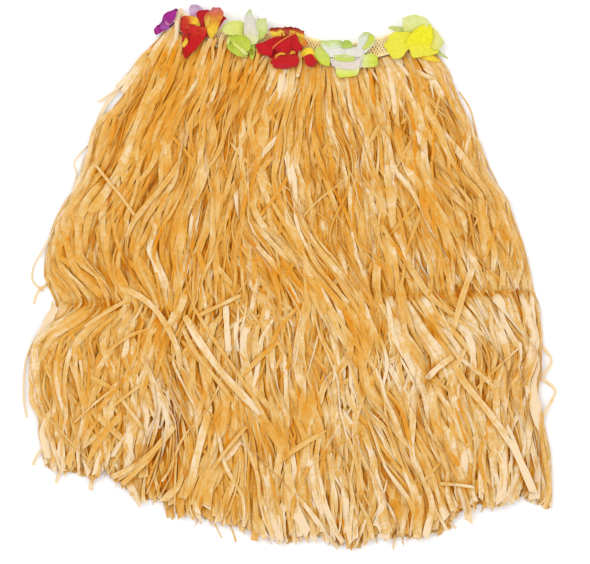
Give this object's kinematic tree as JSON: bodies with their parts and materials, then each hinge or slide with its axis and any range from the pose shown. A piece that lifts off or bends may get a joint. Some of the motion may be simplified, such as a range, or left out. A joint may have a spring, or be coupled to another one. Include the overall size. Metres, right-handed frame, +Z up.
{
  "type": "grass skirt",
  "caption": "Raffia grass skirt laid flat, with layered ribbon strands hanging from a braided waistband that carries a row of fabric flowers.",
  "frame": {"origin": "on the surface that the skirt lies on, under the middle of its outline", "axes": "+Z up through the skirt's thickness, +Y from the hem to the waist, +X to the right seen from above"},
  "size_m": [0.5312, 0.5437, 0.0235],
  "materials": {
    "band_cord": "matt braided cord in an open lattice, natural cream",
    "raffia_back_outer": "satin split raffia ribbon, long grain with fine cross crimps, straw",
    "raffia_back_inner": "satin split raffia ribbon, long grain with fine cross crimps, straw",
    "raffia_front_lower": "satin split raffia ribbon, long grain with fine cross crimps, straw",
    "raffia_front_upper": "satin split raffia ribbon, long grain with fine cross crimps, straw",
    "petal_purple": "thin matt petal fabric, purple magenta",
    "petal_lilac": "thin matt petal fabric, pale lilac",
    "petal_red": "thin matt petal fabric, red with yellow spots",
    "petal_red_orange": "thin matt petal fabric, orange red with a yellow throat",
    "petal_lime": "thin matt petal fabric, lime fading to white",
    "petal_lime_deep": "thin matt petal fabric, deep lime",
    "petal_scarlet": "thin matt petal fabric, scarlet with yellow edges",
    "petal_scarlet_deep": "thin matt petal fabric, deep scarlet",
    "petal_white_green": "thin matt petal fabric, white fading to lime at the tips",
    "petal_white": "thin matt petal fabric, grey white",
    "petal_yellow": "thin matt petal fabric, bright yellow",
    "petal_yellow_pale": "thin matt petal fabric, pale yellow green"
  },
  "bodies": {
    "root": {"waistband": "band_cord", "raffia_back_outer_row": "raffia_back_outer", "raffia_back_inner_row": "raffia_back_inner", "raffia_front_lower_row": "raffia_front_lower", "raffia_front_upper_row": "raffia_front_upper", "flower_purple": "petal_purple", "petal_lilac": "petal_lilac", "flower_red_outer": "petal_red", "flower_red_inner": "petal_red_orange", "flower_lime_outer": "petal_lime", "flower_lime_inner": "petal_lime_deep", "flower_scarlet_outer": "petal_scarlet", "flower_scarlet_inner": "petal_scarlet_deep", "flower_white_outer": "petal_white_green", "flower_white_inner": "petal_white", "flower_yellow_outer": "petal_yellow", "flower_yellow_inner": "petal_yellow_pale"}
  },
  "joints": []
}
